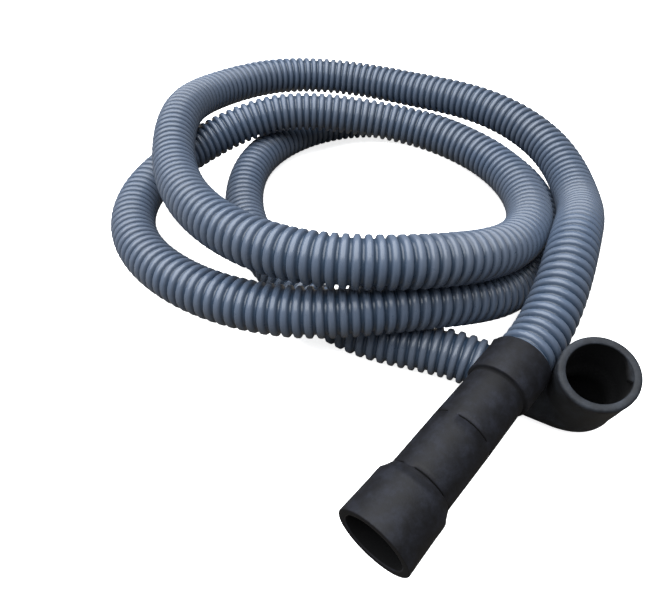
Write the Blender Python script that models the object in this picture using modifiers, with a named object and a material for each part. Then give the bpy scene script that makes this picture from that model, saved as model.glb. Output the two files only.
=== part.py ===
# Corrugated drain hose of a dishwasher, lying in three loose loops, with a moulded rubber
# cuff pushed on each end: a straight stepped one and a bent one.
# Metres, +Z up. The origin is on the surface it lies on, under the middle of the two cuffs.
import math

import bmesh
import bpy
import numpy as np
from mathutils import Euler, Matrix, Vector

mm = 0.001

# the hose and the clearance that its ends and the cuffs keep
hoseDiameter = 23.0 * mm
slipGap = 0.3 * mm
socketBore = hoseDiameter + 2 * slipGap
hosePoints = 80
hoseSides = 4  # bevel resolution, 12 sides

# straight cuff, measured along its axis from the rim of the mouth
straightLength = 93.2 * mm
bellDiameter = 28.2 * mm
bellBore = 23.0 * mm
bellLength = 20.3 * mm
shoulderDiameter = 24.8 * mm
shoulderLength = 3.6 * mm
frontTubeDiameter = 23.8 * mm
frontTubeBore = 20.0 * mm
frontTubeLength = 25.7 * mm
rearTubeDiameter = 23.0 * mm
rearTubeBore = 18.6 * mm
boreStep = 2.3 * mm
collarWall = 1.1 * mm
collarDiameter = socketBore + 2 * collarWall
collarLength = 18.2 * mm
straightSocketDepth = 16.5 * mm
cutLineWidth = 0.8 * mm
cutLineDepth = 0.6 * mm
cutLineStart = math.radians(-14.0)
cutLineArc = math.radians(70.0)
cutLineCount = 4

# elbow cuff, measured along its two legs from the corner of the centreline
entryLeg = 40.2 * mm
mouthLeg = 39.0 * mm
elbowWall = 1.8 * mm
elbowDiameter = socketBore + 2 * elbowWall
elbowRimReach = 1.0 * mm
elbowRimDiameter = elbowDiameter + 2 * elbowRimReach
elbowRimBand = 3.0 * mm
bendRadius = 6.6 * mm
elbowBore = 19.0 * mm
elbowSocketDepth = 23.2 * mm
elbowMouthBore = 23.0 * mm
elbowMouthDepth = 20.0 * mm
ledgeReach = 1.5 * mm
ledgeHeight = 2.6 * mm
ledgeInset = 0.6 * mm
ledgeStart = math.radians(10.0)
ledgeArc = math.radians(42.0)

# rounded edges
rimRound = 0.7 * mm
socketRound = 1.5 * mm

# where the cuffs lie: the straight one's mouth and the elbow's corner
straightMouth = Vector((-10.88, -61.29, 33.4)) * mm
straightTilt = math.radians(3.1)
elbowCorner = Vector((12.07, 49.51, 13.6)) * mm
elbowAzimuth = math.radians(13.7)
elbowLean = math.radians(20.9)

turnSteps = 48
roundSteps = 3
bendSteps = 10
sectorSteps = 3  # fewest steps of a part of a ring
toolReach = 2.0 * mm  # how far a cutter stands out of an open end
mergeReach = 0.01 * mm
cordExit = 6.0 * mm  # straight run of the hose outside each socket

# the hose's route in millimetres, from the straight cuff round three loops to the elbow
routePoints = (
    (-26, 107.5, 46), (-43, 157.5, 31.5), (-80, 198.5, 31), (-133, 211.5, 34.5),
    (-183, 205.5, 32.5), (-234, 186.5, 32.5), (-266, 148.5, 36.5), (-271, 99.5, 42),
    (-250, 55.5, 50.5), (-213, 20.5, 50.5), (-163, -2.5, 55), (-101, 0.5, 61),
    (-58, 38.5, 59), (-46, 87.5, 44.5), (-59, 130.5, 34.5), (-95, 161.5, 30.5),
    (-147, 166.5, 30.5), (-191, 144.5, 34.5), (-230, 106.5, 36), (-246, 68.5, 28),
    (-242, 25.5, 25), (-209, -14.5, 27.5), (-152, -26.5, 32.5), (-94, -4.5, 36),
    (-60, 32.5, 36), (-41, 81.5, 21), (-45, 123.5, 12.5), (-70, 168.5, 13),
    (-114, 193.5, 12), (-170, 196.5, 12.5), (-209, 173.5, 12.5), (-230, 128.5, 12),
    (-223, 84.5, 12), (-191, 46.5, 12.5), (-148, 23.5, 17.5), (-83, 19.5, 12),
)


def clearScene():
    for old in list(bpy.data.objects):
        bpy.data.objects.remove(old, do_unlink=True)


def addCollection(name, hidden=False):
    collection = bpy.data.collections.new(name)
    bpy.context.scene.collection.children.link(collection)
    collection.hide_render = hidden
    return collection


def addMaterial(name, colour, roughness):
    material = bpy.data.materials.new(name)
    material.use_nodes = True
    shader = material.node_tree.nodes["Principled BSDF"]
    shader.inputs["Base Color"].default_value = (*colour, 1.0)
    shader.inputs["Roughness"].default_value = roughness
    shader.inputs["Metallic"].default_value = 0.0
    material.diffuse_color = (*colour, 1.0)
    return material


def addObject(name, data, collection, place=None, material=None):
    made = bpy.data.objects.new(name, data)
    collection.objects.link(made)
    if place is not None:
        made.matrix_world = place
    if material is not None:
        data.materials.append(material)
    return made


def roundedCorner(radius, height, size, turn):
    # points of a quarter round at an outer corner: turn 1 is a top edge, -1 a bottom one
    points = []
    for step in range(roundSteps + 1):
        angle = math.pi / 2 * step / roundSteps
        if turn > 0:
            across, along = math.sin(angle), math.cos(angle)
        else:
            across, along = math.cos(angle), -math.sin(angle)
        points.append((radius - size + size * across, height - turn * size + size * along))
    return points


def turned(name, profile, collection, place, material=None, closed=False):
    # a profile of (radius, height) turned about Z, its outer side from top to bottom
    mesh = bpy.data.meshes.new(name)
    edges = [(i, i + 1) for i in range(len(profile) - 1)]
    if closed:
        edges.append((len(profile) - 1, 0))
    mesh.from_pydata([(radius, 0.0, height) for radius, height in profile], edges, [])
    made = addObject(name, mesh, collection, place, material)
    screw = made.modifiers.new("turn", "SCREW")
    screw.axis = "Z"
    screw.angle = 2 * math.pi
    screw.steps = turnSteps
    screw.render_steps = turnSteps
    screw.use_merge_vertices = True
    screw.merge_threshold = mergeReach
    screw.use_smooth_shade = True
    return made


def addCutter(name, profile, collection, place):
    cutter = turned(name, profile, collection, place)
    hideTool(cutter)
    return cutter


def hideTool(tool):
    tool.hide_render = True
    tool.display_type = "WIRE"


def combine(target, tool, operation):
    boolean = target.modifiers.new(tool.name, "BOOLEAN")
    boolean.operation = operation
    boolean.solver = "EXACT"
    boolean.object = tool


def rod(radius, top, bottom):
    return [(0.0, top), (radius, top), (radius, bottom), (0.0, bottom)]


def ringSector(name, collection, place, inner, outer, low, high, start, arc):
    # part of a ring about Z: a rectangle in the XZ plane spun through the arc
    work = bmesh.new()
    corners = [(inner, low), (outer, low), (outer, high), (inner, high)]
    verts = [work.verts.new((radius, 0.0, height)) for radius, height in corners]
    face = work.faces.new(verts)
    bmesh.ops.rotate(work, verts=verts, cent=(0, 0, 0), matrix=Matrix.Rotation(start, 3, "Z"))
    steps = max(sectorSteps, round(turnSteps * arc / (2 * math.pi)))
    bmesh.ops.spin(
        work, geom=[*verts, *face.edges, face], cent=(0, 0, 0), axis=(0, 0, 1), angle=arc, steps=steps
    )
    tool = addObject(name, finishMesh(work, name), collection, place)
    hideTool(tool)
    return tool


def finishMesh(work, name):
    bmesh.ops.remove_doubles(work, verts=work.verts, dist=mergeReach)
    bmesh.ops.recalc_face_normals(work, faces=work.faces)
    mesh = bpy.data.meshes.new(name)
    work.to_mesh(mesh)
    work.free()
    mesh.shade_smooth()
    return mesh


def straightPlace():
    # local Z runs from the mouth to the collar
    return Matrix.Translation(straightMouth) @ Matrix.Rotation(straightTilt - math.pi / 2, 4, "X")


def elbowPlace():
    # local X runs along the entry leg towards the corner, local Z out of the mouth
    return Matrix.Translation(elbowCorner) @ Euler((elbowLean, 0.0, elbowAzimuth)).to_matrix().to_4x4()


def buildStraightCuff(parts, tools, rubber):
    frontAt = bellLength + shoulderLength
    rearAt = frontAt + frontTubeLength
    collarAt = straightLength - collarLength
    socketFloor = straightLength - straightSocketDepth
    profile = roundedCorner(collarDiameter / 2, straightLength, socketRound / 2, 1)
    profile += [
        (collarDiameter / 2, collarAt),
        (rearTubeDiameter / 2 + rimRound, collarAt - rimRound / 3),
        (rearTubeDiameter / 2, collarAt - rimRound),
        (frontTubeDiameter / 2, rearAt),
        (frontTubeDiameter / 2, frontAt),
        (shoulderDiameter / 2, frontAt),
        (bellDiameter / 2, bellLength),
    ]
    profile += roundedCorner(bellDiameter / 2, 0.0, rimRound, -1)
    profile += [
        (bellBore / 2, 0.0),
        (bellBore / 2, bellLength),
        (frontTubeBore / 2, frontAt),
        (frontTubeBore / 2, rearAt),
        (rearTubeBore / 2, rearAt + boreStep),
        (rearTubeBore / 2, socketFloor),
        (socketBore / 2, socketFloor),
        (socketBore / 2, straightLength),
    ]
    cuff = turned("straight_cuff", profile, parts, straightPlace(), rubber, closed=True)
    tubeRadius = frontTubeDiameter / 2
    for line, height in enumerate((frontAt, rearAt)):
        for part in range(cutLineCount):
            start = cutLineStart + 2 * math.pi * part / cutLineCount
            low = height + rimRound / 3
            groove = ringSector(
                f"cut_line_{line}_{part}", tools, straightPlace(), tubeRadius - cutLineDepth,
                bellDiameter / 2, low, low + cutLineWidth, start, cutLineArc,
            )
            combine(cuff, groove, "DIFFERENCE")
    return cuff


def buildElbowCuff(parts, tools, rubber):
    place = elbowPlace()
    # along the entry leg, height is the distance from the corner towards the hose
    entryPlace = place @ Matrix.Rotation(-math.pi / 2, 4, "Y")
    radius = elbowDiameter / 2
    rimRadius = elbowRimDiameter / 2
    bandAt = mouthLeg - elbowRimBand
    mouthRun = [(bandAt - rimRound, radius), (bandAt, rimRadius)]
    mouthRun += roundedEnd(rimRadius, mouthLeg, rimRound)
    work = bentSolid(radius, roundedEnd(radius, entryLeg, socketRound), mouthRun)
    cuff = addObject("elbow_cuff", finishMesh(work, "elbow_cuff"), parts, place, rubber)

    socketFloor = entryLeg - elbowSocketDepth
    mouthFloor = mouthLeg - elbowMouthDepth
    boreRadius = elbowBore / 2
    entryRun = [(socketFloor + toolReach, boreRadius)]
    work = bentSolid(boreRadius, entryRun, [(mouthFloor + toolReach, boreRadius)])
    bore = addObject("elbow_bore", finishMesh(work, "elbow_bore"), tools, place)
    hideTool(bore)
    combine(cuff, bore, "DIFFERENCE")
    socket = rod(socketBore / 2, entryLeg + toolReach, socketFloor)
    combine(cuff, addCutter("elbow_socket", socket, tools, entryPlace), "DIFFERENCE")
    mouth = rod(elbowMouthBore / 2, mouthLeg + toolReach, mouthFloor)
    combine(cuff, addCutter("elbow_mouth", mouth, tools, place), "DIFFERENCE")
    ledgeTop = mouthLeg - ledgeInset
    ledge = ringSector(
        "ledge", tools, place,
        elbowMouthBore / 2 - ledgeReach, elbowMouthBore / 2 + ledgeReach / 2,
        ledgeTop - ledgeHeight, ledgeTop, ledgeStart, ledgeArc,
    )
    combine(cuff, ledge, "UNION")
    return cuff


def roundedEnd(radius, end, size):
    # (distance, radius) pairs that round the outer edge at a leg's end
    angles = [math.pi / 2 * step / roundSteps for step in range(roundSteps + 1)]
    return [(end - size + size * math.sin(a), radius - size + size * math.cos(a)) for a in angles]


def bentSolid(radius, entryRun, mouthRun):
    # a ring spun through the bend, run out along both legs and capped
    work = bmesh.new()
    ring = bmesh.ops.create_circle(work, cap_ends=False, radius=radius, segments=turnSteps)
    stand = Matrix.Translation((-bendRadius, 0.0, 0.0)) @ Matrix.Rotation(math.pi / 2, 4, "Y")
    bmesh.ops.transform(work, matrix=stand, verts=ring["verts"])
    entryEdges = list(work.edges)
    swept = bmesh.ops.spin(
        work, geom=[*work.verts, *work.edges],
        cent=(-bendRadius, 0.0, bendRadius), axis=(0.0, -1.0, 0.0), angle=math.pi / 2, steps=bendSteps,
    )
    mouthEdges = [item for item in swept["geom_last"] if isinstance(item, bmesh.types.BMEdge)]
    # inside the bend the two legs meet in a crease
    for vert in work.verts:
        across, side, up = vert.co
        overLeg = across <= mergeReach - bendRadius and up > bendRadius
        overMouth = up >= bendRadius - mergeReach and across < -bendRadius
        if overLeg or overMouth:
            reach = math.sqrt(max(radius**2 - side**2, 0.0))
            vert.co = (-reach, side, reach)
    runOut(work, entryEdges, Vector((-1, 0, 0)), entryRun)
    runOut(work, mouthEdges, Vector((0, 0, 1)), mouthRun)
    return work


def runOut(work, edges, axis, run):
    # extrude the ring along the axis, once for each (distance, radius)
    for distance, radius in run:
        made = bmesh.ops.extrude_edge_only(work, edges=edges)["geom"]
        verts = [item for item in made if isinstance(item, bmesh.types.BMVert)]
        edges = [item for item in made if isinstance(item, bmesh.types.BMEdge)]
        edges = [edge for edge in edges if all(vert in verts for vert in edge.verts)]
        for vert in verts:
            outward = vert.co - axis * vert.co.dot(axis)
            vert.co = axis * distance + outward.normalized() * radius
    bmesh.ops.contextual_create(work, geom=edges)


def smoothCurve(points, startSlope, endSlope, count):
    # a cubic spline through the points, read at even steps of its parameter
    points = np.array(points, dtype=float)
    runs = np.linalg.norm(np.diff(points, axis=0), axis=1)
    knots = np.concatenate(([0.0], np.cumsum(runs)))
    size = len(points)
    system = np.zeros((size, size))
    wanted = np.zeros((size, 3))
    system[0, 0] = system[-1, -1] = 1.0
    wanted[0] = startSlope
    wanted[-1] = endSlope
    for i in range(1, size - 1):
        before, after = runs[i - 1], runs[i]
        system[i, i - 1 : i + 2] = after, 2 * (before + after), before
        wanted[i] = 3 * (
            after * (points[i] - points[i - 1]) / before + before * (points[i + 1] - points[i]) / after
        )
    slopes = np.linalg.solve(system, wanted)
    read = []
    for at in np.linspace(0.0, knots[-1], count):
        i = min(int(np.searchsorted(knots, at, side="right")) - 1, size - 2)
        run = runs[i]
        x = (at - knots[i]) / run
        read.append(
            points[i] * (1 + 2 * x) * (1 - x) ** 2 + points[i + 1] * x * x * (3 - 2 * x)
            + run * x * (1 - x) * (slopes[i] * (1 - x) - slopes[i + 1] * x)
        )
    return read


def hoseLine():
    straight = straightPlace()
    elbow = elbowPlace()
    straightAxis = straight.to_3x3() @ Vector((0, 0, 1))
    elbowAxis = elbow.to_3x3() @ Vector((1, 0, 0))
    first = straight @ Vector((0, 0, straightLength - straightSocketDepth + slipGap))
    leave = straight @ Vector((0, 0, straightLength + cordExit))
    enter = elbow @ Vector((-entryLeg - cordExit, 0, 0))
    last = elbow @ Vector((-(entryLeg - elbowSocketDepth) - slipGap, 0, 0))
    free = [leave, *(Vector(point) * mm for point in routePoints), enter]
    return [first, *smoothCurve(free, straightAxis, elbowAxis, hosePoints - 2), last]


def buildHose(parts, plastic):
    curve = bpy.data.curves.new("hose", "CURVE")
    curve.dimensions = "3D"
    curve.bevel_depth = hoseDiameter / 2
    curve.bevel_resolution = hoseSides
    curve.use_fill_caps = True
    line = hoseLine()
    spline = curve.splines.new("POLY")
    spline.points.add(len(line) - 1)
    for point, place in zip(spline.points, line):
        point.co = (*place, 1.0)
    return addObject("hose", curve, parts, material=plastic)


clearScene()
partsCollection = addCollection("drain_hose")
toolsCollection = addCollection("cutters", hidden=True)
cuffRubber = addMaterial("moulded_rubber", (0.026, 0.031, 0.040), 0.62)
elbowRubber = addMaterial("moulded_rubber_elbow", (0.030, 0.035, 0.045), 0.62)
hosePlastic = addMaterial("corrugated_plastic", (0.127, 0.159, 0.250), 0.45)
buildStraightCuff(partsCollection, toolsCollection, cuffRubber)
buildElbowCuff(partsCollection, toolsCollection, elbowRubber)
buildHose(partsCollection, hosePlastic)
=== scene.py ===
# Looks of a corrugated drain hose with two moulded rubber cuffs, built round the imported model.
import math

import bmesh
import bpy
import numpy as np
from mathutils import Euler, Matrix, Vector


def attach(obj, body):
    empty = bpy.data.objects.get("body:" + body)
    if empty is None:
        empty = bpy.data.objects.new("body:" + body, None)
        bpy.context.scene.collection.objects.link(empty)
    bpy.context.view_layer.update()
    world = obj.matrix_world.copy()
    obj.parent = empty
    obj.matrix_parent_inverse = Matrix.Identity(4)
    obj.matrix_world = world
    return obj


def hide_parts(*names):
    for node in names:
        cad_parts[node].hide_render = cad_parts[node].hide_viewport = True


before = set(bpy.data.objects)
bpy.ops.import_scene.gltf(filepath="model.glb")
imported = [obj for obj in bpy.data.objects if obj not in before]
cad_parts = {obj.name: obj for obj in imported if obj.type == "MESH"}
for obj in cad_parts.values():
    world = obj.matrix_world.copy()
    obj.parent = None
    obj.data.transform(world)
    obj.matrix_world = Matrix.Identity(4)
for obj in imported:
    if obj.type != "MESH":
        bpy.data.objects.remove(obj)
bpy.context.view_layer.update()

mm = 0.001
touch = 0.1  # millimetres: a point this near a wall or an edge counts as on it
sameSpot = 0.000001  # metres: points this near each other are one


def hexColour(text):
    # sRGB hex to linear
    out = []
    for at in (1, 3, 5):
        value = int(text[at : at + 2], 16) / 255
        out.append(value / 12.92 if value <= 0.04045 else ((value + 0.055) / 1.055) ** 2.4)
    return (*out, 1.0)


def patternScale(size):
    # the Scale of a noise whose patches are this many millimetres wide
    return 1 / (size * mm)


def addNode(tree, kind, settings=None, links=None, values=None):
    # one shader node: its settings, its unlinked values and the links into it
    node = tree.nodes.new(kind)
    for key, value in (settings or {}).items():
        setattr(node, key, value)
    for key, value in (values or {}).items():
        node.inputs[key].default_value = value
    for key, source in (links or {}).items():
        tree.links.new(source, node.inputs[key])
    return node


def newMaterial(name):
    material = bpy.data.materials.new(name)
    material.use_nodes = True
    tree = material.node_tree
    shader = tree.nodes["Principled BSDF"]
    return material, tree, shader


def addPiece(work, name, material, matrix=None):
    # a finished mesh at the origin, with its place in its vertices
    bmesh.ops.remove_doubles(work, verts=work.verts, dist=sameSpot)
    bmesh.ops.recalc_face_normals(work, faces=work.faces)
    if matrix is not None:
        bmesh.ops.transform(work, matrix=matrix, verts=work.verts)
    mesh = bpy.data.meshes.new(name)
    work.to_mesh(mesh)
    work.free()
    mesh.shade_smooth()
    mesh.materials.append(material)
    piece = bpy.data.objects.new(name, mesh)
    bpy.context.scene.collection.objects.link(piece)
    return piece


def spinProfile(profile, steps):
    # a closed profile of (radius, height) in metres, turned about Z
    work = bmesh.new()
    verts = [work.verts.new((radius, 0.0, height)) for radius, height in profile]
    edges = [work.edges.new(pair) for pair in zip(verts, verts[1:] + verts[:1])]
    bmesh.ops.spin(
        work, geom=verts + edges, cent=(0, 0, 0), axis=(0, 0, 1), angle=2 * math.pi, steps=steps,
        use_merge=True,
    )
    return work


def arc(centreRadius, centreHeight, size, start, end, count=5):
    # profile points round a corner, angles in degrees from outwards towards +Z
    profile = []
    for k in range(count):
        angle = math.radians(start + (end - start) * k / (count - 1))
        profile.append((centreRadius + size * math.cos(angle), centreHeight + size * math.sin(angle)))
    return profile


def radii(sizes, *names):
    # half of each named diameter
    return [sizes[name] / 2 for name in names]


def placeRound(vert):
    # a point's radius and height in millimetres and its angle in degrees, about local Z
    angle = math.degrees(math.atan2(vert.co.y, vert.co.x))
    return math.hypot(vert.co.x, vert.co.y) / mm, vert.co.z / mm, angle


def pressTowardsAxis(vert, radius, distance):
    scale = (radius - distance) / radius
    vert.co.x *= scale
    vert.co.y *= scale


# the photograph's camera: a plain pinhole above the front of the loops, looking down over them
view = {
    "place": (24.82, -124.39, 216.9),  # millimetres
    "tilt": 45.8,  # degrees below level
    "turn": 42.1,  # degrees to the left of +Y
    "focalPixels": 571.0,
    "widthPixels": 645.0,
    "sensor": 36.0,
    "clipStart": 10.0,  # millimetres
}


def setCamera():
    data = bpy.data.cameras.new("camera")
    data.sensor_fit = "HORIZONTAL"
    data.sensor_width = view["sensor"]
    data.lens = view["sensor"] * view["focalPixels"] / view["widthPixels"]
    data.clip_start = view["clipStart"] * mm
    camera = bpy.data.objects.new("camera", data)
    camera.location = Vector(view["place"]) * mm
    camera.rotation_euler = (math.radians(90 - view["tilt"]), 0.0, math.radians(view["turn"]))
    bpy.context.scene.collection.objects.link(camera)
    bpy.context.scene.camera = camera


# the straight cuff, in millimetres along its axis from the rim of the mouth, widths as diameters
straight = {
    "mouth": (-10.88, -61.29, 33.4),
    "tilt": 3.1,  # degrees, mouth down
    "length": 93.2,
    "steps": 96,
    "bell": 28.2, "bellBore": 23.0, "bellLength": 20.3, "boreRings": (3.0, 10.0),
    "bellEdge": ((-0.5, 0.5), (-0.1, -0.1), (0.0, -1.2)),  # (outwards, towards the collar) of the bell's end
    "flare": 0.4, "flareFrom": 15.0, "flareMiddle": (8.0, 0.4),  # its place and its share of the flare
    "shoulder": 24.8, "shoulderEdge": ((-0.1, 0.1), (0.0, -0.3)),
    "front": 23.8, "frontAt": 23.9, "frontBore": 20.0, "frontRings": (45.0, 38.0, 31.0, 27.0),
    "rear": 23.0, "rearAt": 49.6, "rearBore": 18.6, "boreStep": 2.3, "rearRings": (0.3, 0.6, 0.9),
    "gutter": ((0.25, 0.1), (-0.1, 0.4), (-0.15, 0.8), (0.0, 1.8)),  # (outwards, below the collar)
    "collar": 25.8, "collarAt": 75.0, "collarRing": 9.0, "socket": 23.6, "socketFloor": 76.7,
    "rimRound": 0.5, "lipRound": 0.6, "endRound": 0.8, "stepRound": 0.5, "endChamfer": 0.3,
    # two rings of cut lines, each in a few arcs; angles in degrees
    "cutWidth": 0.8, "cutDepth": 0.75, "cutInset": 0.23,
    "cutFrom": -14.0, "cutArc": 70.0, "cutFade": 2.0, "cutCount": 4,
    # painted shade on the rubber, from 0 to 1, and where it lies: black in the bores, nearly so on the gutter
    # and the rim's face
    "boreFrom": 0.5, "rimShade": 0.75, "rimFace": 0.05,
    "gutterShade": 0.8, "gutterMiddle": 0.5, "gutterReach": 0.8, "gutterOut": 0.4,
}


def straightPlace():
    # local Z runs from the mouth to the collar
    lean = Matrix.Rotation(math.radians(straight["tilt"]) - math.pi / 2, 4, "X")
    return Matrix.Translation(Vector(straight["mouth"]) * mm) @ lean


def cutLineRun(radius, centre, half):
    # points across one cut line, from its collar side to its mouth side
    return [(radius, centre + half * share) for share in (1.0, 0.6, 0.3, 0.0, -0.3, -0.6, -1.0)]


def straightOutside(cuts, half):
    # from the collar's end to the rim, with a shallow gutter round the tube below the collar
    sizes = straight
    collar, rear, front, shoulder, bell = radii(sizes, "collar", "rear", "front", "shoulder", "bell")
    end, step, rim = sizes["endRound"], sizes["stepRound"], sizes["rimRound"]
    low = sizes["collarAt"]
    profile = arc(collar - end, sizes["length"] - end, end, 90, 0)
    profile += [(collar, low + sizes["collarRing"])]
    profile += arc(collar - step, low + step, step, 0, -90, 4)
    profile += [(rear + out, low - below) for out, below in sizes["gutter"]]
    for share in sizes["rearRings"]:
        profile += [(rear + (front - rear) * share, low + (cuts[0] - low) * share)]
    profile += cutLineRun(front, cuts[0], half)
    profile += [(front, height) for height in sizes["frontRings"]]
    profile += cutLineRun(front, cuts[1], half)
    profile += [(shoulder + out, sizes["frontAt"] + up) for out, up in sizes["shoulderEdge"]]
    profile += [(bell + out, sizes["bellLength"] + up) for out, up in sizes["bellEdge"]]
    flareMiddle, flareShare = sizes["flareMiddle"]
    profile += [(bell, sizes["flareFrom"]), (bell + sizes["flare"] * flareShare, flareMiddle)]
    profile += arc(bell + sizes["flare"] - rim, rim, rim, 0, -90)
    return profile


def straightInside():
    # from the rim back to the collar's end
    sizes = straight
    bore, frontBore, rearBore, socket = radii(sizes, "bellBore", "frontBore", "rearBore", "socket")
    lip, chamfer = sizes["lipRound"], sizes["endChamfer"]
    profile = arc(bore + lip, lip, lip, -90, -180, 4)
    profile += [(bore, height) for height in (*sizes["boreRings"], sizes["bellLength"])]
    profile += [(frontBore, sizes["frontAt"]), (frontBore, sizes["rearAt"])]
    profile += [(rearBore, sizes["rearAt"] + sizes["boreStep"]), (rearBore, sizes["socketFloor"])]
    profile += [(socket, sizes["socketFloor"]), (socket, sizes["length"] - chamfer)]
    profile += [(socket + chamfer, sizes["length"])]
    return profile


def sinkCutLines(work, cuts, half, paintedShade):
    # each line is cut in a few arcs, with whole rubber between them
    sizes = straight
    sector = 360.0 / sizes["cutCount"]
    for vert in work.verts:
        radius, height, angle = placeRound(vert)
        angle = (angle - sizes["cutFrom"]) % sector
        fade = min(angle, sizes["cutArc"] - angle, sizes["cutFade"]) / sizes["cutFade"]
        if radius < sizes["front"] / 2 - touch or fade <= 0:
            continue
        for centre in cuts:
            off = abs(height - centre)
            if off < half - touch:
                pressTowardsAxis(vert, radius, sizes["cutDepth"] * fade * (1 - (off / half) ** 2))
                # painted shade: each sunk cut line is painted dark
                vert[paintedShade] = fade


def paintStraightShade(work, paintedShade):
    # painted shade: the bores are painted black, and the gutter below the collar and the rim's face nearly so
    sizes = straight
    bore, frontBore, rear = radii(sizes, "bellBore", "frontBore", "rear")
    gutter = sizes["collarAt"] - sizes["gutterMiddle"]
    for vert in work.verts:
        radius, height = placeRound(vert)[:2]
        wall = bore if height < sizes["bellLength"] + touch else frontBore
        if height > sizes["boreFrom"] and radius < wall + touch:
            vert[paintedShade] = 1.0
        if abs(height - gutter) < sizes["gutterReach"] and radius < rear + sizes["gutterOut"]:
            vert[paintedShade] = sizes["gutterShade"]
        if height < sizes["rimFace"]:
            vert[paintedShade] = sizes["rimShade"]


def buildStraightCuff(material):
    half = straight["cutWidth"] / 2
    cuts = [straight[name] + straight["cutInset"] + half for name in ("rearAt", "frontAt")]
    profile = straightOutside(cuts, half) + straightInside()
    work = spinProfile([(radius * mm, height * mm) for radius, height in profile], straight["steps"])
    # a point attribute that carries the painted shade to the material
    paintedShade = work.verts.layers.float.new("paintedRubberShade")
    sinkCutLines(work, cuts, half, paintedShade)
    paintStraightShade(work, paintedShade)
    return addPiece(work, "straight_rubber_cuff", material, straightPlace())


# the elbow, in millimetres from the corner of its centreline, widths as diameters, angles in degrees
elbow = {
    "corner": (12.07, 49.51, 13.6),
    "azimuth": 13.7, "lean": 20.9,
    "entry": 40.2, "mouth": 39.0, "bend": 6.6, "steps": 96, "bendSteps": 20,
    "body": 27.2, "entryRing": 18.0, "endRound": 1.5,
    # the mouth's leg widens by most of the rim's reach, and the rim stands out by the rest
    "rim": 29.0, "rimBand": 3.0, "rimStep": 0.6, "rimRound": 1.1,
    "flare": 0.85, "flareFrom": 14.0, "flareMiddle": (22.0, 0.5),  # its place and its share of the flare
    "bore": 19.0, "mouthBore": 23.0, "mouthDepth": 20.0, "mouthChamfer": 0.3,
    "socket": 23.6, "socketDepth": 23.2, "socketChamfer": 0.2,
    "ledgeReach": 1.8, "ledgeTop": 0.6, "ledgeHeight": 2.6, "ledgeSlope": 0.3,
    "ledgeFrom": 10.0, "ledgeTo": 54.0, "ledgeFade": 0.6,  # the share of its arc on which it runs out
}
entryAxis = Vector((-1, 0, 0))
mouthAxis = Vector((0, 0, 1))


def elbowPlace():
    # local X runs along the entry leg towards the corner, local Z out of the mouth
    turn = Euler((math.radians(elbow["lean"]), 0.0, math.radians(elbow["azimuth"])))
    return Matrix.Translation(Vector(elbow["corner"]) * mm) @ turn.to_matrix().to_4x4()


def bendRing(work, radius):
    # a ring across the entry leg, spun through the bend; inside it the legs meet in a crease
    radius, bend = radius * mm, elbow["bend"] * mm
    before = set(work.verts)
    ring = bmesh.ops.create_circle(work, cap_ends=False, radius=radius, segments=elbow["steps"])
    stand = Matrix.Translation((-bend, 0.0, 0.0)) @ Matrix.Rotation(math.pi / 2, 4, "Y")
    bmesh.ops.transform(work, matrix=stand, verts=ring["verts"])
    entryEdges = list({edge for vert in ring["verts"] for edge in vert.link_edges})
    swept = bmesh.ops.spin(
        work, geom=[*ring["verts"], *entryEdges], cent=(-bend, 0.0, bend), axis=(0.0, -1.0, 0.0),
        angle=math.pi / 2, steps=elbow["bendSteps"],
    )
    mouthEdges = [item for item in swept["geom_last"] if isinstance(item, bmesh.types.BMEdge)]
    for vert in set(work.verts) - before:
        across, side, up = vert.co
        inside = across < -bend + sameSpot and up > bend - sameSpot
        if inside and max(-across - bend, up - bend) > sameSpot:
            reach = math.sqrt(max(radius**2 - side**2, 0.0))
            vert.co = (-reach, side, reach)
    return entryEdges, mouthEdges


def runOut(work, edges, axis, run):
    # extrude the ring along the axis, once for each (distance, radius)
    for distance, radius in run:
        made = bmesh.ops.extrude_edge_only(work, edges=edges)["geom"]
        verts = {item for item in made if isinstance(item, bmesh.types.BMVert)}
        edges = [item for item in made if isinstance(item, bmesh.types.BMEdge)]
        edges = [edge for edge in edges if all(vert in verts for vert in edge.verts)]
        for vert in verts:
            outward = vert.co - axis * vert.co.dot(axis)
            vert.co = axis * distance * mm + outward.normalized() * radius * mm


def endRun(radius, end, size):
    # (distance, radius) pairs that round the outer edge at a leg's end
    return [(distance, across) for across, distance in arc(radius - size, end - size, size, 0, 90)]


def elbowOutside(work):
    sizes = elbow
    body, rim = radii(sizes, "body", "rim")
    entryEdges, mouthEdges = bendRing(work, body)
    run = [(sizes["entryRing"], body), *endRun(body, sizes["entry"], sizes["endRound"])]
    runOut(work, entryEdges, entryAxis, run)
    flare = (rim - body) * sizes["flare"]
    band = sizes["mouth"] - sizes["rimBand"]
    flareMiddle, flareShare = sizes["flareMiddle"]
    run = [(sizes["flareFrom"], body), (flareMiddle, body + flare * flareShare)]
    run += [(band - sizes["rimStep"], body + flare), (band, rim)]
    runOut(work, mouthEdges, mouthAxis, run + endRun(rim, sizes["mouth"], sizes["rimRound"]))


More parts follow.
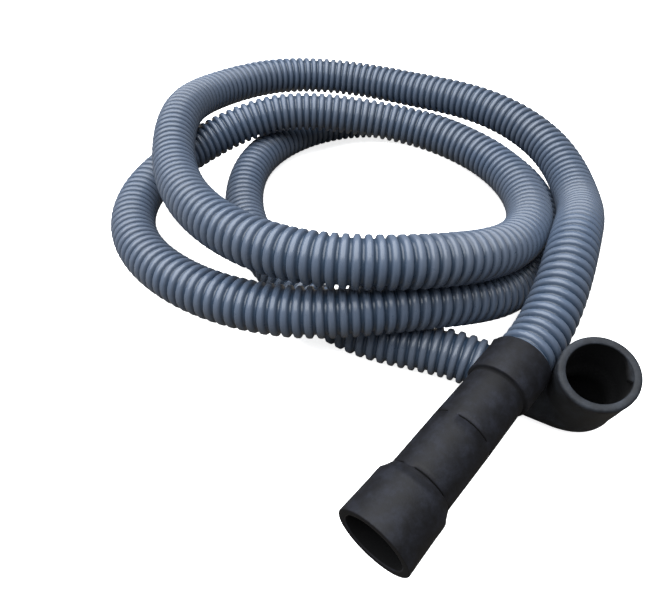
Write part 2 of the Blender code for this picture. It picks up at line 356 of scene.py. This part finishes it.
def elbowInside(work, ledgeLow, ledgeTop):
    # each run ends on the outside's last ring, where addPiece merges the two
    sizes = elbow
    body, rim, bore, mouthBore, socket = radii(sizes, "body", "rim", "bore", "mouthBore", "socket")
    entryEdges, mouthEdges = bendRing(work, bore)
    entry, lip = sizes["entry"], sizes["socketChamfer"]
    socketFloor = entry - sizes["socketDepth"]
    run = [(socketFloor, bore), (socketFloor, socket), (entry - lip, socket), (entry, socket + lip)]
    runOut(work, entryEdges, entryAxis, [*run, (entry, body - sizes["endRound"])])
    mouth, lip, slope = sizes["mouth"], sizes["mouthChamfer"], sizes["ledgeSlope"]
    mouthFloor = mouth - sizes["mouthDepth"]
    run = [(mouthFloor, bore), (mouthFloor, mouthBore)]
    run += [(ledgeLow - slope, mouthBore), (ledgeLow, mouthBore)]
    run += [(ledgeTop - slope, mouthBore), (ledgeTop, mouthBore), (mouth - lip, mouthBore)]
    run += [(mouth, mouthBore + lip), (mouth, rim - sizes["rimRound"])]
    runOut(work, mouthEdges, mouthAxis, run)


def pressLedge(work, low, top):
    # the ledge in the mouth: full height at one end, running out at the other
    sizes = elbow
    span = sizes["ledgeTo"] - sizes["ledgeFrom"]
    for vert in work.verts:
        radius, height, angle = placeRound(vert)
        angle -= sizes["ledgeFrom"]
        onBore = low - touch < height < top - touch and radius < sizes["mouthBore"] / 2 + touch
        if onBore and 0 < angle < span:
            fade = min(1.0, (span - angle) / (sizes["ledgeFade"] * span))
            pressTowardsAxis(vert, radius, sizes["ledgeReach"] * fade)


def buildElbow(material):
    ledgeTop = elbow["mouth"] - elbow["ledgeTop"]
    ledgeLow = ledgeTop - elbow["ledgeHeight"]
    work = bmesh.new()
    paintedShade = work.verts.layers.float.new("paintedRubberShade")
    elbowOutside(work)
    outside = set(work.verts)
    elbowInside(work, ledgeLow, ledgeTop)
    # painted shade: the bores are painted black, up to the top of the ledge
    for vert in set(work.verts) - outside:
        if vert.co.z / mm < ledgeTop - touch:
            vert[paintedShade] = 1.0
    pressLedge(work, ledgeLow, ledgeTop)
    return addPiece(work, "elbow_rubber_cuff", material, elbowPlace())


# the corrugated hose, in millimetres
hose = {
    "diameter": 23.0,
    "pitch": 4.72,
    "grooveDepth": 1.7,
    "bore": 17.6,
    "sides": 24,
    "boreStep": 9.0,
    "inside": (16.2, 22.9),  # length inside the straight cuff's socket and the elbow's
    "cordExit": 6.0,  # straight run outside each socket
    # one ridge: (share of the pitch, share of the groove's depth), from groove to groove
    "ridge": ((0.0, 1.0), (0.13, 0.97), (0.19, 0.50), (0.27, 0.12), (0.39, 0.0), (0.61, 0.0), (0.73, 0.12),
              (0.81, 0.50), (0.87, 0.97)),
    "splinePoints": 6000, "endPoints": 40,  # the free run and each straight end, before they are evened out
    "lineStep": 1.0,  # of the even centreline
    "pathEvery": 4,  # one in so many of its points goes into the cord's path
}

# the hose's route in millimetres, from the straight cuff round three loops to the elbow
routePoints = (
    (-26, 107.5, 46), (-43, 157.5, 31.5), (-80, 198.5, 31), (-133, 211.5, 34.5),
    (-183, 205.5, 32.5), (-234, 186.5, 32.5), (-266, 148.5, 36.5), (-271, 99.5, 42),
    (-250, 55.5, 50.5), (-213, 20.5, 50.5), (-163, -2.5, 55), (-101, 0.5, 61),
    (-58, 38.5, 59), (-46, 87.5, 44.5), (-59, 130.5, 34.5), (-95, 161.5, 30.5),
    (-147, 166.5, 30.5), (-191, 144.5, 34.5), (-230, 106.5, 36), (-246, 68.5, 28),
    (-242, 25.5, 25), (-209, -14.5, 27.5), (-152, -26.5, 32.5), (-94, -4.5, 36),
    (-60, 32.5, 36), (-41, 81.5, 21), (-45, 123.5, 12.5), (-70, 168.5, 13),
    (-114, 193.5, 12), (-170, 196.5, 12.5), (-209, 173.5, 12.5), (-230, 128.5, 12),
    (-223, 84.5, 12), (-191, 46.5, 12.5), (-148, 23.5, 17.5), (-83, 19.5, 12),
)


def splineThrough(points, startSlope, endSlope, count):
    # a cubic spline through the points, read at even steps of its parameter
    points = np.array(points, dtype=float)
    runs = np.linalg.norm(np.diff(points, axis=0), axis=1)
    knots = np.concatenate(([0.0], np.cumsum(runs)))
    size = len(points)
    system = np.zeros((size, size))
    wanted = np.zeros((size, 3))
    system[0, 0] = system[-1, -1] = 1.0
    wanted[0] = startSlope
    wanted[-1] = endSlope
    for i in range(1, size - 1):
        before, after = runs[i - 1], runs[i]
        system[i, i - 1 : i + 2] = after, 2 * (before + after), before
        wanted[i] = 3 * (
            after * (points[i] - points[i - 1]) / before + before * (points[i + 1] - points[i]) / after
        )
    slopes = np.linalg.solve(system, wanted)
    at = np.linspace(0.0, knots[-1], count)
    i = np.clip(np.searchsorted(knots, at, side="right") - 1, 0, size - 2)
    run = runs[i][:, None]
    x = ((at - knots[i]) / runs[i])[:, None]
    return (
        points[i] * (1 + 2 * x) * (1 - x) ** 2 + points[i + 1] * x * x * (3 - 2 * x)
        + run * x * (1 - x) * (slopes[i] * (1 - x) - slopes[i + 1] * x)
    )


def hoseLine():
    # the centreline in metres, from inside the straight cuff's socket to inside the elbow's
    startCuff, endCuff = straightPlace(), elbowPlace()
    along = np.array(startCuff.to_3x3() @ Vector((0, 0, 1)))
    into = np.array(endCuff.to_3x3() @ Vector((1, 0, 0)))
    leave = np.array(startCuff @ Vector((0, 0, (straight["length"] + hose["cordExit"]) * mm)))
    enter = np.array(endCuff @ Vector((-(elbow["entry"] + hose["cordExit"]) * mm, 0, 0)))
    line = splineThrough([leave, *np.array(routePoints) * mm, enter], along, into, hose["splinePoints"])
    headRun, tailRun = ((inside + hose["cordExit"]) * mm for inside in hose["inside"])
    head = leave - along * np.linspace(headRun, 0, hose["endPoints"], endpoint=False)[:, None]
    tail = enter + into * np.linspace(0, tailRun, hose["endPoints"] + 1)[1:, None]
    return np.vstack([head, line, tail])


def evenLine(line, step):
    # the same line with a point every step, and the length along it
    lengths = np.concatenate(([0.0], np.cumsum(np.linalg.norm(np.diff(line, axis=0), axis=1))))
    at = np.linspace(0.0, lengths[-1], int(lengths[-1] / step) + 1)
    return np.column_stack([np.interp(at, lengths, line[:, k]) for k in range(3)]), at


def bendAlong(local, line, lengths):
    # carry a straight tube's points (x, y, distance along Z) onto the line without twist
    tangents = np.gradient(line, lengths, axis=0)
    tangents /= np.linalg.norm(tangents, axis=1)[:, None]
    sides = np.zeros_like(line)
    side = np.cross(tangents[0], (0.0, 0.0, 1.0))
    for i, tangent in enumerate(tangents):
        side = side - tangent * side.dot(tangent)
        side /= np.linalg.norm(side)
        sides[i] = side
    ups = np.cross(tangents, sides)
    out = np.zeros_like(local)
    for k in range(3):
        centre = np.interp(local[:, 2], lengths, line[:, k])
        across = np.interp(local[:, 2], lengths, sides[:, k])
        up = np.interp(local[:, 2], lengths, ups[:, k])
        out[:, k] = centre + local[:, 0] * across + local[:, 1] * up
    return out


def hoseProfile(total, radius, depth):
    # (radius, height) in metres: out along the ridges, back along the plain bore
    count = round(total / (hose["pitch"] * mm))
    pitch = total / count
    profile = []
    for ridge in range(count):
        for share, low in hose["ridge"]:
            profile.append((radius - depth * low, (ridge + share) * pitch))
    profile.append((radius - depth, total))
    boreRadius = hose["bore"] / 2 * mm
    for at in np.linspace(total, 0.0, round(total / (hose["boreStep"] * mm))):
        profile.append((boreRadius, float(at)))
    return profile


def buildHose(material):
    line, lengths = evenLine(hoseLine(), hose["lineStep"] * mm)
    total = lengths[-1]
    radius = hose["diameter"] / 2 * mm
    depth = hose["grooveDepth"] * mm
    work = spinProfile(hoseProfile(total, radius, depth), hose["sides"])
    piece = addPiece(work, "corrugated_hose", material)
    mesh = piece.data
    local = np.empty(len(mesh.vertices) * 3)
    mesh.vertices.foreach_get("co", local)
    local = local.reshape(-1, 3)
    # the straight tube's own place, and how high on its ridge each point is, for the material
    place = mesh.attributes.new("tubePlace", "FLOAT_VECTOR", "POINT")
    place.data.foreach_set("vector", local.ravel())
    ridgeHeight = np.clip((np.hypot(local[:, 0], local[:, 1]) - (radius - depth)) / depth, 0.0, 1.0)
    ridge = mesh.attributes.new("ridgeHeight", "FLOAT", "POINT")
    ridge.data.foreach_set("value", ridgeHeight)
    mesh.vertices.foreach_set("co", bendAlong(local, line, lengths).ravel())
    mesh.update()
    path = line[:: hose["pathEvery"]].tolist() + [line[-1].tolist()]
    return piece, path, total


# the hose's plastic; colours are sRGB, patches in millimetres
plastic = {
    # the groove's colour is painted shade, darker than the plastic itself
    "crest": "#5B6069", "crestLow": "#3E5068", "groove": "#293748",
    "grooveTo": 0.05, "crestFrom": 0.65,  # heights on the ridge between which the painted groove shade fades into the crest colour
    "cloud": {"Scale": patternScale(62.5), "Detail": 3.0, "Roughness": 0.55},
    "wear": {"Scale": patternScale(2.857), "Detail": 4.0, "Roughness": 0.6},
    "roughness": {"To Min": 0.2, "To Max": 0.42},
    "ior": 1.47,
}


# Extruded polypropylene, satin: smooth wide crests in soft blue and grey clouds, with painted shade making
# the grooves darker and bluer
def corrugatedPlastic():
    material, tree, shader = newMaterial("corrugated_polypropylene")
    ridge = addNode(tree, "ShaderNodeAttribute", {"attribute_name": "ridgeHeight"})
    place = addNode(tree, "ShaderNodeAttribute", {"attribute_name": "tubePlace"})
    cloud = addNode(tree, "ShaderNodeTexNoise", values=plastic["cloud"],
                    links={"Vector": place.outputs["Vector"]})
    crest = addNode(
        tree, "ShaderNodeMix", {"data_type": "RGBA"}, links={"Factor": cloud.outputs["Fac"]},
        values={"A": hexColour(plastic["crestLow"]), "B": hexColour(plastic["crest"])},
    )
    # painted shade: from the crest down into the groove the colour turns to the dark groove colour
    rise = addNode(tree, "ShaderNodeMapRange", links={"Value": ridge.outputs["Fac"]},
                   values={"From Min": plastic["grooveTo"], "From Max": plastic["crestFrom"]})
    colour = addNode(
        tree, "ShaderNodeMix", {"data_type": "RGBA"}, values={"A": hexColour(plastic["groove"])},
        links={"Factor": rise.outputs["Result"], "B": crest.outputs["Result"]},
    )
    tree.links.new(colour.outputs["Result"], shader.inputs["Base Color"])
    # handled plastic: its shine comes and goes every few millimetres
    wear = addNode(tree, "ShaderNodeTexNoise", values=plastic["wear"],
                   links={"Vector": place.outputs["Vector"]})
    rough = addNode(tree, "ShaderNodeMapRange", values=plastic["roughness"],
                    links={"Value": wear.outputs["Fac"]})
    tree.links.new(rough.outputs["Result"], shader.inputs["Roughness"])
    shader.inputs["IOR"].default_value = plastic["ior"]
    return material


# the cuffs' rubber; colours are sRGB, patches in millimetres
rubber = {
    # (place in the bloom's noise, colour), from the darkest patches to the palest
    "cuff": ((0.36, "#0B0B0E"), (0.5, "#121318"), (0.66, "#1D1F27")),
    # the elbow's rubber is painted paler than the cuff's; the extra paleness is painted light for the light
    # thrown up onto the elbow
    "elbow": ((0.36, "#181A1E"), (0.5, "#22252A"), (0.66, "#2F333A")),
    # painted shade: the black for the bores, cut lines, gutter and rim face
    "paintedShade": "#040405",
    "bloom": {"Scale": patternScale(6.667), "Detail": 9.0, "Roughness": 0.72},
    "grain": {"Scale": patternScale(0.5556), "Detail": 3.0},
    "grainBump": {"Strength": 0.3, "Distance": 0.2 * mm},
    "roughness": {"To Min": 0.5, "To Max": 0.75},
    "shadedRoughness": 1.0,
    "specular": 0.22,
}


# Moulded EPDM rubber, matte: dark with a faint bluish bloom in paler clouds, and painted shade: black in the
# bores and dark in the cut lines, gutter and rim face
def mouldedRubber(name, shades):
    material, tree, shader = newMaterial(name)
    coords = addNode(tree, "ShaderNodeTexCoord")
    bloom = addNode(tree, "ShaderNodeTexNoise", values=rubber["bloom"],
                    links={"Vector": coords.outputs["Object"]})
    spread = addNode(tree, "ShaderNodeValToRGB", links={"Fac": bloom.outputs["Fac"]})
    stops = spread.color_ramp.elements
    stops.new(shades[1][0])
    for stop, (position, shade) in zip(stops, shades):
        stop.position = position
        stop.color = hexColour(shade)
    # painted shade: the point attribute turns the colour to black
    paintedShade = addNode(tree, "ShaderNodeAttribute", {"attribute_name": "paintedRubberShade"})
    colour = addNode(tree, "ShaderNodeMix", {"data_type": "RGBA"}, values={"B": hexColour(rubber["paintedShade"])},
                     links={"Factor": paintedShade.outputs["Fac"], "A": spread.outputs["Color"]})
    tree.links.new(colour.outputs["Result"], shader.inputs["Base Color"])
    # the mould's fine grain, drawn about half a millimetre wide so that it shows
    grain = addNode(tree, "ShaderNodeTexNoise", values=rubber["grain"],
                    links={"Vector": coords.outputs["Object"]})
    bump = addNode(tree, "ShaderNodeBump", values=rubber["grainBump"],
                   links={"Height": grain.outputs["Fac"]})
    tree.links.new(bump.outputs["Normal"], shader.inputs["Normal"])
    rough = addNode(tree, "ShaderNodeMapRange", values=rubber["roughness"],
                    links={"Value": bloom.outputs["Fac"]})
    # where the shade is painted, the rubber is also rougher and gives back hardly any shine
    shadedRough = addNode(tree, "ShaderNodeMapRange", values={"To Max": rubber["shadedRoughness"]},
                        links={"Value": paintedShade.outputs["Fac"], "To Min": rough.outputs["Result"]})
    tree.links.new(shadedRough.outputs["Result"], shader.inputs["Roughness"])
    shader.inputs["Specular IOR Level"].default_value = rubber["specular"]
    return material


# the card under the hose; colours are sRGB, its reach in metres from the middle to each side
card = {"white": "#FFFFFF", "bounce": "#66615A", "glow": 0.8, "reach": 6.0}


# Pale card floor: plain white to the eye, a warm dark grey to the light that it throws back
def buildFloor():
    material, tree, shader = newMaterial("floor_card")
    tree.nodes.remove(shader)
    rays = addNode(tree, "ShaderNodeLightPath")
    white = addNode(tree, "ShaderNodeBsdfDiffuse", values={"Color": hexColour(card["white"])})
    glow = addNode(tree, "ShaderNodeEmission", values={"Strength": card["glow"]})
    seen = addNode(tree, "ShaderNodeAddShader",
                   links={0: white.outputs["BSDF"], 1: glow.outputs["Emission"]})
    dull = addNode(tree, "ShaderNodeBsdfDiffuse", values={"Color": hexColour(card["bounce"])})
    mixed = addNode(
        tree, "ShaderNodeMixShader",
        links={0: rays.outputs["Is Camera Ray"], 1: dull.outputs["BSDF"], 2: seen.outputs["Shader"]},
    )
    tree.links.new(mixed.outputs["Shader"], tree.nodes["Material Output"].inputs["Surface"])
    work = bmesh.new()
    bmesh.ops.create_grid(work, x_segments=1, y_segments=1, size=card["reach"])
    addPiece(work, "floor", material)


# a dim studio and one large softbox over the loops, in metres; the colours are linear
light = {
    "middle": (-0.12, 0.09, 0.0),  # of the loops
    "studio": (0.92, 0.95, 1.0, 1.0),
    "studioGlow": 0.24,
    "boxSize": (1.6, 1.6),
    "boxPlace": (-0.5, 0.1, 0.9),  # from the middle: to the camera's right, away from it, and up
    "boxPower": 44.0,
    "boxColour": (0.96, 0.98, 1.0),
}


def addSoftbox():
    # a rectangular lamp that faces straight down, square to the view
    data = bpy.data.lights.new("overhead", "AREA")
    data.shape = "RECTANGLE"
    data.size, data.size_y = light["boxSize"]
    data.energy = light["boxPower"]
    data.color = light["boxColour"]
    turn = math.radians(view["turn"])
    right, away, up = light["boxPlace"]
    aside = Vector((math.cos(turn), math.sin(turn), 0.0)) * right
    ahead = Vector((-math.sin(turn), math.cos(turn), 0.0)) * away
    lamp = bpy.data.objects.new("overhead", data)
    lamp.location = Vector(light["middle"]) + aside + ahead + Vector((0.0, 0.0, up))
    lamp.rotation_euler = (0.0, 0.0, turn)
    bpy.context.scene.collection.objects.link(lamp)


def setLight():
    scene = bpy.context.scene
    scene.view_settings.view_transform = "Standard"
    world = bpy.data.worlds.new("studio")
    world.use_nodes = True
    scene.world = world
    # the dim studio lights the loops, and plain white stands behind them
    tree = world.node_tree
    studio = tree.nodes["Background"]
    studio.inputs["Color"].default_value = light["studio"]
    studio.inputs["Strength"].default_value = light["studioGlow"]
    rays = addNode(tree, "ShaderNodeLightPath")
    white = addNode(tree, "ShaderNodeBackground", values={"Color": hexColour(card["white"])})
    mixed = addNode(
        tree, "ShaderNodeMixShader",
        links={
            0: rays.outputs["Is Camera Ray"], 1: studio.outputs["Background"], 2: white.outputs["Background"],
        },
    )
    tree.links.new(mixed.outputs["Shader"], tree.nodes["World Output"].inputs["Surface"])
    addSoftbox()


print("camera")
setCamera()

print("hose")
hosePiece, hosePath, hoseLength = buildHose(corrugatedPlastic())
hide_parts("hose")
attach(hosePiece, "root")

print("straight cuff")
cuffPiece = buildStraightCuff(mouldedRubber("moulded_epdm_cuff", rubber["cuff"]))
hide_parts("straight_cuff")
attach(cuffPiece, "root")

print("elbow")
elbowPiece = buildElbow(mouldedRubber("moulded_epdm_elbow", rubber["elbow"]))
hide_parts("elbow_cuff")
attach(elbowPiece, "root")

print("floor and light")
buildFloor()
setLight()
